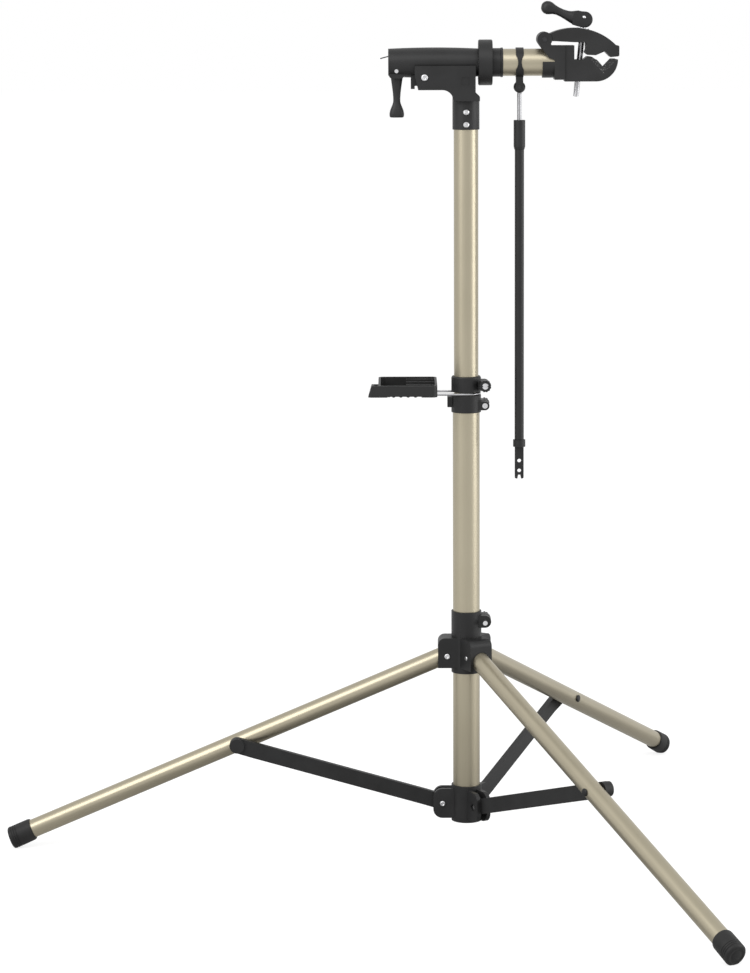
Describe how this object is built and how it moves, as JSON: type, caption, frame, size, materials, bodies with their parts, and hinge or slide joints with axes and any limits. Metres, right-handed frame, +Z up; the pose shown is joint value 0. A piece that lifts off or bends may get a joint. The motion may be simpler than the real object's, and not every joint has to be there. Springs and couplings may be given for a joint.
{
  "type": "bicycle repair stand",
  "caption": "Folding tripod repair stand with a telescoping mast, a turning cam-lever tube clamp on a tilting head, a swivelling tool tray and a hanging handlebar holder.",
  "frame": {"origin": "on the mast's axis at floor level", "axes": "+Z up along the mast, +X along the arm towards the clamp, +Y away from the pictured side"},
  "size_m": [0.9185, 1.0568, 1.1086],
  "materials": {
    "champagne": "champagne anodised, satin",
    "black_plastic": "moulded black nylon, fine grain",
    "rubber": "matt black rubber",
    "pad_rubber": "black rubber with light specks",
    "bush_plastic": "plain moulded",
    "steel": "bright zinc plated"
  },
  "bodies": {
    "mast_base": {"outer_tube": "champagne", "lower_hub": "black_plastic", "strut_screws": "steel", "mast_collar": "black_plastic"},
    "mast_knob": {"mast_bolt": "steel", "mast_knob": "black_plastic"},
    "leg_hub": {"leg_hub": "black_plastic", "leg_screws": "steel"},
    "hub_knob": {"hub_bolt": "steel", "hub_knob": "black_plastic"},
    "leg_left": {"leg_tube_left": "champagne", "leg_plug_left": "black_plastic", "foot_cap_left": "rubber", "leg_rivet_left": "black_plastic"},
    "strut_left": {"strut_left": "black_plastic"},
    "leg_rear": {"leg_tube_rear": "champagne", "leg_plug_rear": "black_plastic", "foot_cap_rear": "rubber", "leg_rivet_rear": "black_plastic"},
    "strut_rear": {"strut_rear": "black_plastic"},
    "leg_front": {"leg_tube_front": "champagne", "leg_plug_front": "black_plastic", "foot_cap_front": "rubber", "leg_rivet_front": "black_plastic"},
    "strut_front": {"strut_front": "black_plastic"},
    "upper_mast": {"upper_tube": "champagne", "head_bracket": "black_plastic", "bracket_screws": "steel", "tilt_bolt": "steel"},
    "stop_collar": {"stop_collar": "black_plastic"},
    "stop_knob": {"stop_bolt": "steel", "stop_knob": "black_plastic"},
    "tray": {"tray": "black_plastic", "tray_wire": "steel"},
    "head": {"head_barrel": "black_plastic", "barrel_bushes": "bush_plastic", "brake_plunger": "steel", "lever_pin": "steel", "tail_wire": "steel"},
    "quick_lever": {"quick_lever": "black_plastic"},
    "arm": {"arm_spindle": "steel", "index_ring": "black_plastic", "arm_collar": "black_plastic", "arm_tube": "champagne", "clamp_body": "black_plastic", "jaw_pin": "steel", "jaw_pad": "pad_rubber", "clamp_nut": "steel"},
    "upper_jaw": {"upper_jaw": "black_plastic"},
    "cam_washer": {"cam_washer": "steel"},
    "clamp_rod": {"clamp_rod": "steel", "cam_pin": "steel"},
    "clamp_lever": {"clamp_lever": "black_plastic"},
    "strap": {"holder_strap": "black_plastic", "holder_pin": "steel"},
    "hanger_rod": {"inner_rod": "steel"},
    "hanger_tube": {"lock_sleeve": "black_plastic", "holder_tube": "black_plastic", "holder_end": "black_plastic"}
  },
  "joints": [
    {"name": "hub_slide", "type": "slide", "parent": "mast_base", "child": "leg_hub", "axis": [0, 0, 1], "range_m": [0, 0.255]},
    {"name": "hub_knob_turn", "type": "hinge", "parent": "leg_hub", "child": "hub_knob", "pos_m": [0.0242, 0, 0.30209], "axis": [0, 1, 0], "continuous": true},
    {"name": "leg_fold_left", "type": "hinge", "parent": "leg_hub", "child": "leg_left", "pos_m": [-0.0253, 0, 0.25709], "axis": [0, -1, 0], "range_deg": [0, 28.92]},
    {"name": "strut_fold_left", "type": "hinge", "parent": "mast_base", "child": "strut_left", "pos_m": [-0.0315, 0, 0.06], "axis": [0, 1, 0], "range_deg": [0, 34.05]},
    {"name": "leg_fold_rear", "type": "hinge", "parent": "leg_hub", "child": "leg_rear", "pos_m": [0.01265, 0.02191, 0.25709], "axis": [-0.866, 0.5, 0], "range_deg": [0, 28.92]},
    {"name": "strut_fold_rear", "type": "hinge", "parent": "mast_base", "child": "strut_rear", "pos_m": [0.01575, 0.02728, 0.06], "axis": [0.866, -0.5, 0], "range_deg": [0, 34.05]},
    {"name": "leg_fold_front", "type": "hinge", "parent": "leg_hub", "child": "leg_front", "pos_m": [0.01265, -0.02191, 0.25709], "axis": [0.866, 0.5, 0], "range_deg": [0, 28.92]},
    {"name": "strut_fold_front", "type": "hinge", "parent": "mast_base", "child": "strut_front", "pos_m": [0.01575, -0.02728, 0.06], "axis": [-0.866, -0.5, 0], "range_deg": [0, 34.05]},
    {"name": "mast_slide", "type": "slide", "parent": "mast_base", "child": "upper_mast", "axis": [0, 0, 1], "range_m": [0, 0.42]},
    {"name": "mast_knob_turn", "type": "hinge", "parent": "mast_base", "child": "mast_knob", "pos_m": [0.0242, 0, 0.586], "axis": [0, 1, 0], "continuous": true},
    {"name": "stop_collar_slide", "type": "slide", "parent": "upper_mast", "child": "stop_collar", "axis": [0, 0, 1], "range_m": [0, 0.2]},
    {"name": "stop_knob_turn", "type": "hinge", "parent": "stop_collar", "child": "stop_knob", "pos_m": [0.0242, 0, 0.613], "axis": [0, 1, 0], "continuous": true},
    {"name": "tray_swivel", "type": "hinge", "parent": "mast_base", "child": "tray", "pos_m": [0, 0, 0.6016], "axis": [0, 0, 1], "range_deg": [-75, 75]},
    {"name": "head_tilt", "type": "hinge", "parent": "upper_mast", "child": "head", "pos_m": [-0.0535, 0, 1.0114], "axis": [0, -1, 0], "range_deg": [0, 50]},
    {"name": "quick_lever_turn", "type": "hinge", "parent": "head", "child": "quick_lever", "pos_m": [-0.0894, 0, 1.0195], "axis": [0, 1, 0], "range_deg": [0, 100]},
    {"name": "arm_turn", "type": "hinge", "parent": "head", "child": "arm", "pos_m": [0, 0, 1.03], "axis": [1, 0, 0], "continuous": true},
    {"name": "strap_swing", "type": "hinge", "parent": "head", "child": "strap", "pos_m": [0.0689, 0, 1.03], "axis": [1, 0, 0], "range_deg": [-80, 80]},
    {"name": "rod_swing", "type": "hinge", "parent": "strap", "child": "hanger_rod", "pos_m": [0.0689, 0, 0.9983], "axis": [0, -1, 0], "range_deg": [-2, 12]},
    {"name": "tube_slide", "type": "slide", "parent": "hanger_rod", "child": "hanger_tube", "axis": [0, 0, -1], "range_m": [-0.025, 0.2]},
    {"name": "jaw_swing", "type": "hinge", "parent": "arm", "child": "upper_jaw", "pos_m": [0.1006, 0, 1.0596], "axis": [0, -1, 0], "range_deg": [0, 22]},
    {"name": "washer_lift", "type": "slide", "parent": "arm", "child": "cam_washer", "axis": [0.0976, 0, 0.9952], "range_m": [0, 0.0224]},
    {"name": "rod_turn", "type": "hinge", "parent": "cam_washer", "child": "clamp_rod", "pos_m": [0.1474, 0, 1.0461], "axis": [0.0976, 0, 0.9952], "continuous": true},
    {"name": "cam_lever_turn", "type": "hinge", "parent": "clamp_rod", "child": "clamp_lever", "pos_m": [0.15147, 0, 1.0876], "axis": [0, 1, 0], "range_deg": [0, 100]}
  ],
  "couplings": [
    {"joint": "leg_fold_left", "follows": "hub_slide", "rad_per_m": 1.9761},
    {"joint": "strut_fold_left", "follows": "hub_slide", "rad_per_m": 2.3271},
    {"joint": "leg_fold_rear", "follows": "hub_slide", "rad_per_m": 1.9761},
    {"joint": "strut_fold_rear", "follows": "hub_slide", "rad_per_m": 2.3271},
    {"joint": "leg_fold_front", "follows": "hub_slide", "rad_per_m": 1.9761},
    {"joint": "strut_fold_front", "follows": "hub_slide", "rad_per_m": 2.3271},
    {"joint": "washer_lift", "follows": "jaw_swing", "m_per_rad": 0.058}
  ]
}
